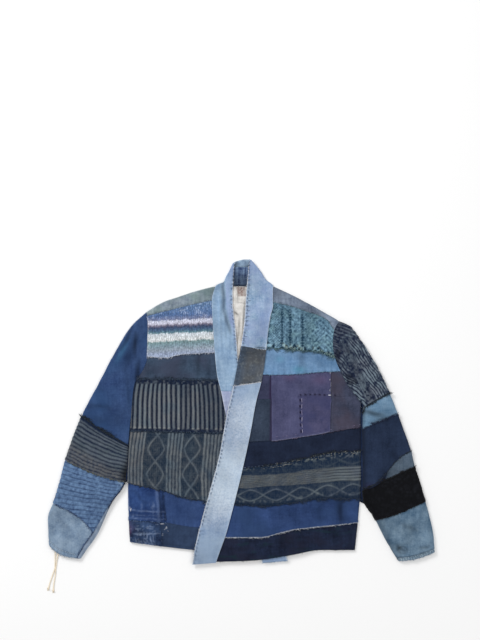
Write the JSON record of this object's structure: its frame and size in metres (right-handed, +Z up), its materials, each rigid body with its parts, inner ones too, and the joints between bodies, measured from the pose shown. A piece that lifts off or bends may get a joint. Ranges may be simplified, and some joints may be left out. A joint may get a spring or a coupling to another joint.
{
  "type": "patched boro jacket",
  "caption": "Boxy kimono-front jacket pieced from worn denim and knit patches, laid flat with a long shawl band, full sleeves and a cuff drawstring.",
  "frame": {"origin": "on the floor under the middle of the jacket, on the underside of the back panel", "axes": "+X across the jacket towards its left sleeve, +Y up its length towards the neck, +Z up through its layers"},
  "size_m": [0.9687, 0.8327, 0.0095],
  "materials": {
    "blue_denim": "worn royal-blue denim, soft and slightly mottled",
    "faded_denim": "faded indigo denim with pale wear",
    "light_denim": "washed pale-blue denim, pale along its edges",
    "lilac_denim": "washed denim with a lilac cast",
    "dark_canvas": "dark grey-brown twill",
    "grey_green_denim": "faded grey-green twill",
    "slate_denim": "slate denim with slubs",
    "navy_denim": "dark navy denim, frayed along its edges",
    "purple_denim": "purple-grey overdyed denim",
    "plum_cloth": "dark plum cotton",
    "sky_denim": "sky-blue linen",
    "grey_denim": "grey-blue chambray",
    "cuff_denim": "washed grey-blue denim, crumpled",
    "striped_knit": "variegated knit in blue, white and brown stripes",
    "ribbed_knit": "ribbed knit, tan on navy",
    "cable_knit": "cable knit with ribs and diamonds, tan on navy",
    "teal_knit": "teal lace-rib knit with a pale fringe",
    "blue_knit": "chunky ridged knit in mid blue",
    "black_jersey": "black boucle jersey",
    "lining_cotton": "unbleached cotton lining",
    "drawstring_cotton": "natural cotton cord"
  },
  "bodies": {
    "root": {"back_panel": "blue_denim", "back_lining": "lining_cotton", "collar_back": "light_denim", "collar_facing": "navy_denim", "right_front_yoke": "grey_green_denim", "right_front_striped_knit": "striped_knit", "right_front_slate_denim": "slate_denim", "right_front_ribbed_knit": "ribbed_knit", "right_front_cable_knit": "cable_knit", "right_front_blue_flap": "faded_denim", "right_front_blue_denim": "blue_denim", "right_front_hem_faded": "faded_denim", "right_front_hem_slate": "navy_denim", "left_front_yoke": "grey_denim", "left_front_teal_knit": "teal_knit", "left_front_sky_denim": "sky_denim", "left_front_plum_strip": "plum_cloth", "left_front_slate_strip": "slate_denim", "left_front_purple_denim": "purple_denim", "left_front_stitched_patch": "purple_denim", "left_front_plum_upper": "plum_cloth", "left_front_plum_lower": "plum_cloth", "left_front_navy_denim": "navy_denim", "left_front_cable_knit": "cable_knit", "left_front_blue_denim": "blue_denim", "left_front_hem_navy": "navy_denim", "right_band_upper": "light_denim", "right_band_lilac": "lilac_denim", "right_band_lower": "light_denim", "left_band_upper": "light_denim", "left_band_dark_patch": "dark_canvas", "left_band_lower": "light_denim", "right_sleeve_blue_denim": "blue_denim", "right_sleeve_ribbed_knit": "ribbed_knit", "right_sleeve_blue_knit": "blue_knit", "right_sleeve_cuff_denim": "cuff_denim", "right_sleeve_edge_strip": "faded_denim", "right_sleeve_under": "blue_denim", "left_sleeve_cable_knit": "cable_knit", "left_sleeve_sky_denim": "sky_denim", "left_sleeve_navy_denim": "navy_denim", "left_sleeve_grey_sliver": "grey_denim", "left_sleeve_black_jersey": "black_jersey", "left_sleeve_cuff_denim": "cuff_denim", "left_sleeve_under": "blue_denim", "drawstring_a": "drawstring_cotton", "drawstring_b": "drawstring_cotton", "drawstring_a_knot": "drawstring_cotton", "drawstring_b_knot": "drawstring_cotton"}
  },
  "joints": []
}
